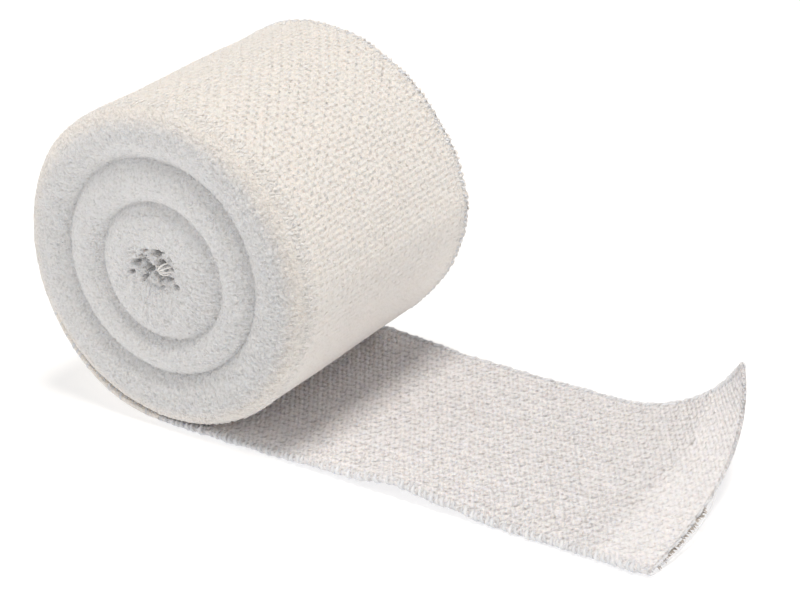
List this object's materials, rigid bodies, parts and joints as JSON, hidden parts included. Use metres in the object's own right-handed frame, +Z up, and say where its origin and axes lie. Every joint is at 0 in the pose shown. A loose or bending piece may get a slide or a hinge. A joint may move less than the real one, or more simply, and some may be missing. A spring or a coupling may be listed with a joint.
{
  "type": "elastic bandage roll",
  "caption": "Elastic crepe bandage wound into a roll on its side, with a loose end that passes under the roll and lies beside it, its far corner curled up.",
  "frame": {"origin": "on the surface that the bandage lies on, at the middle of the whole object's box", "axes": "+X from the roll along its loose end, +Y along the roll's axis to its far face, +Z up"},
  "size_m": [0.1494, 0.0632, 0.0714],
  "materials": {
    "roll_cotton": "matte",
    "end_cotton": "matte"
  },
  "bodies": {
    "root": {"wound_roll": "roll_cotton", "loose_end": "end_cotton"}
  },
  "joints": []
}
